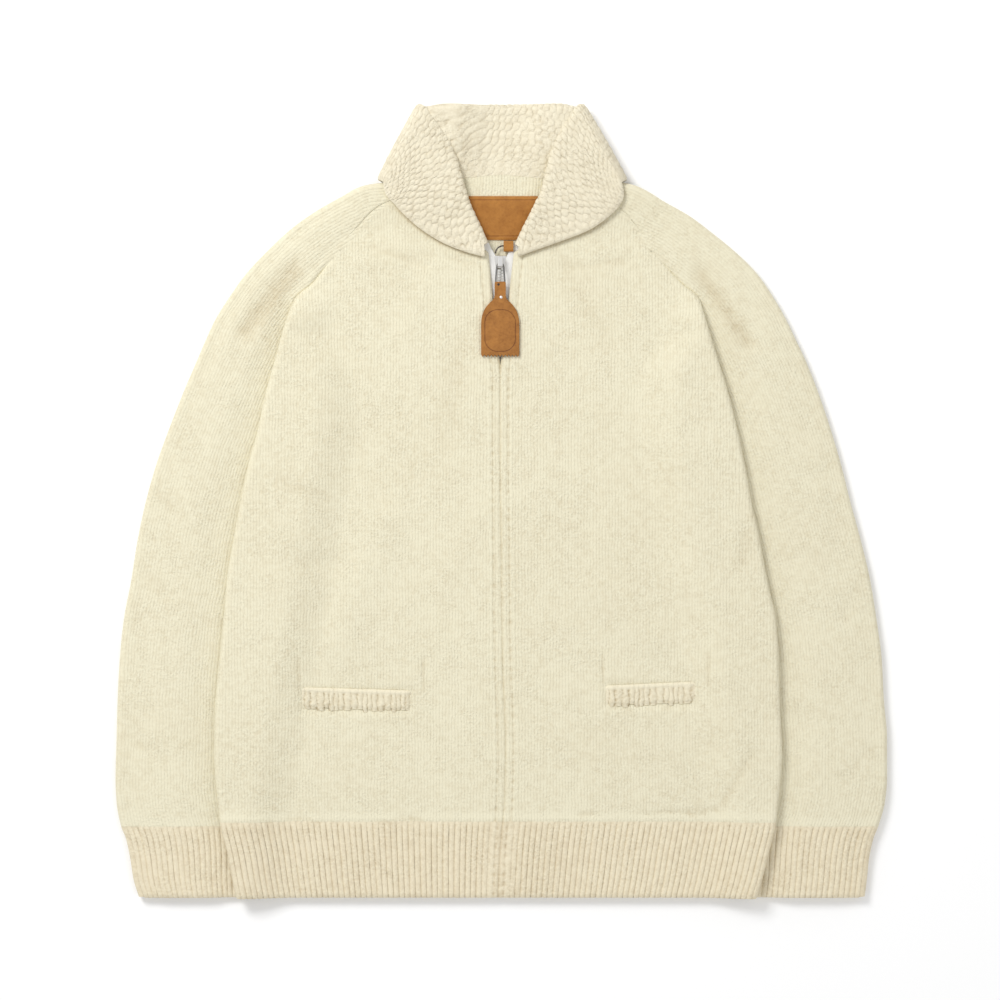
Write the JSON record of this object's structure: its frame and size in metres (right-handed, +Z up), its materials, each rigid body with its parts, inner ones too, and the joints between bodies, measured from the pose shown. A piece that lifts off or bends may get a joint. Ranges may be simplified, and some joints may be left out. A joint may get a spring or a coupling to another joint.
{
  "type": "cowichan sweater",
  "caption": "Chunky cream knit sweater with raglan sleeves, shawl collar and front zip, lying flat with both sleeves folded behind the body.",
  "frame": {"origin": "on the surface that the sweater lies on, at the middle of its bounding box", "axes": "+Y from hem to collar, +Z up out of the front, +X to the right of the view from above"},
  "size_m": [0.7279, 0.7465, 0.0221],
  "materials": {
    "cream_wool": "chunky stockinette knit",
    "ribbed_wool": "ribbed knit, slightly darker",
    "tan_leather": "tan, matt, with darker edges",
    "zip_tape": "white woven tape",
    "nickel": "bright nickel",
    "dark_metal": "dark oxidised wire"
  },
  "bodies": {
    "sweater": {"front_left": "cream_wool", "front_right": "cream_wool", "back_panel": "cream_wool", "sleeve_left": "cream_wool", "sleeve_right": "cream_wool", "collar": "cream_wool", "pocket_bag_left": "cream_wool", "pocket_bag_right": "cream_wool", "hem_front_left": "ribbed_wool", "hem_front_right": "ribbed_wool", "hem_back": "ribbed_wool", "cuff_left": "ribbed_wool", "cuff_right": "ribbed_wool", "pocket_welt_left": "ribbed_wool", "pocket_welt_right": "ribbed_wool", "neck_label": "tan_leather", "hang_loop": "tan_leather", "zip_tape_left": "zip_tape", "zip_tape_right": "zip_tape", "zip_chain": "nickel", "zip_slider": "nickel", "hang_ring": "dark_metal"},
    "pull": {"pull_loop": "nickel", "pull_tab": "tan_leather"}
  },
  "joints": [
    {"name": "pull_hinge", "type": "hinge", "parent": "sweater", "child": "pull", "pos_m": [-0.001, 0.2216, 0.013], "axis": [-1, 0, 0], "range_deg": [0, 150]}
  ]
}
